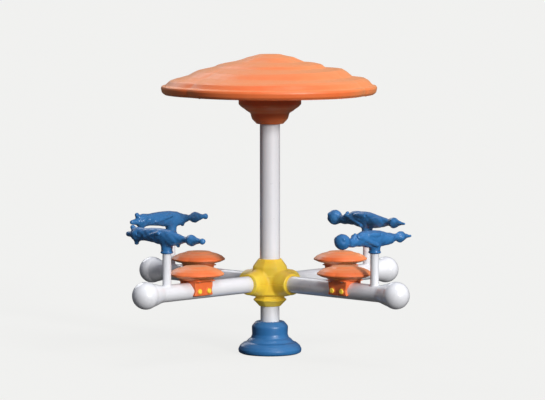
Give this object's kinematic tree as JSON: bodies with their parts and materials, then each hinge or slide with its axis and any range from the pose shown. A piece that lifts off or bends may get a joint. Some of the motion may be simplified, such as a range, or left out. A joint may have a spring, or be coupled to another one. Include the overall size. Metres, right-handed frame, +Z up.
{
  "type": "playground merry-go-round",
  "caption": "Playground merry-go-round: radial tube arms with disc seats and figure-shaped hand grips, turning with a domed canopy on a bearing hub over a fixed stub post.",
  "frame": {"origin": "centre of the base plate's underside, on the ground, on the spin axis", "axes": "+Z up along the spin axis; the arms lie on the diagonals between X and Y; the two ball-headed grips are on the +X side, the two crowned ones on the -X side"},
  "size_m": [1.5976, 1.6088, 1.705],
  "materials": {
    "white_paint": "gloss",
    "blue_plastic": "gloss",
    "yellow_plastic": "gloss",
    "orange_plastic": "satin",
    "galvanised_steel": "matte",
    "turned_steel": "satin",
    "bearing_steel": "polished",
    "cage_brass": "satin",
    "seal_rubber": "matte",
    "stainless_fasteners": "satin"
  },
  "bodies": {
    "base": {"base_plate": "galvanised_steel", "base_gussets": "galvanised_steel", "stub_post": "white_paint", "spindle_rings": "galvanised_steel", "spindle": "turned_steel", "lower_inner_race": "bearing_steel", "upper_inner_race": "bearing_steel", "lock_washer": "turned_steel", "lock_nut": "turned_steel", "base_cover": "blue_plastic", "cover_screws": "stainless_fasteners"},
    "carousel": {"hub_housing": "galvanised_steel", "lower_outer_race": "bearing_steel", "upper_outer_race": "bearing_steel", "lower_seal": "seal_rubber", "post_flange": "galvanised_steel", "flange_screws": "stainless_fasteners", "upper_post": "white_paint", "hub_shell_upper": "yellow_plastic", "hub_shell_lower": "yellow_plastic", "shell_screws": "stainless_fasteners", "arm_tube_1": "white_paint", "arm_tube_2": "white_paint", "arm_tube_3": "white_paint", "arm_tube_4": "white_paint", "ball_end_1": "white_paint", "ball_end_2": "white_paint", "ball_end_3": "white_paint", "ball_end_4": "white_paint", "grip_post_1": "white_paint", "grip_post_2": "white_paint", "grip_post_3": "white_paint", "grip_post_4": "white_paint", "grip_1": "blue_plastic", "grip_2": "blue_plastic", "grip_3": "blue_plastic", "grip_4": "blue_plastic", "seat_1": "orange_plastic", "seat_2": "orange_plastic", "seat_3": "orange_plastic", "seat_4": "orange_plastic", "seat_saddle_1": "orange_plastic", "seat_saddle_2": "orange_plastic", "seat_saddle_3": "orange_plastic", "seat_saddle_4": "orange_plastic", "seat_screws": "stainless_fasteners", "seat_bolts": "stainless_fasteners", "seat_nuts": "stainless_fasteners", "bolt_caps": "yellow_plastic", "grip_pins": "stainless_fasteners", "canopy_hood": "orange_plastic", "canopy_soffit": "orange_plastic", "canopy_funnel": "orange_plastic", "canopy_frame": "galvanised_steel", "canopy_bolts": "stainless_fasteners", "rim_screws": "stainless_fasteners"},
    "lower_bearing_cage": {"lower_balls": "bearing_steel", "lower_cage": "cage_brass"},
    "upper_bearing_cage": {"upper_balls": "bearing_steel", "upper_cage": "cage_brass"}
  },
  "joints": [
    {"name": "carousel_spin", "type": "hinge", "parent": "base", "child": "carousel", "pos_m": [0, 0, 0.311], "axis": [0, 0, 1], "continuous": true},
    {"name": "lower_cage_spin", "type": "hinge", "parent": "base", "child": "lower_bearing_cage", "pos_m": [0, 0, 0.311], "axis": [0, 0, 1], "continuous": true},
    {"name": "upper_cage_spin", "type": "hinge", "parent": "base", "child": "upper_bearing_cage", "pos_m": [0, 0, 0.456], "axis": [0, 0, 1], "continuous": true}
  ],
  "couplings": [
    {"joint": "lower_cage_spin", "follows": "carousel_spin", "ratio": 0.5929},
    {"joint": "upper_cage_spin", "follows": "carousel_spin", "ratio": 0.5907}
  ]
}
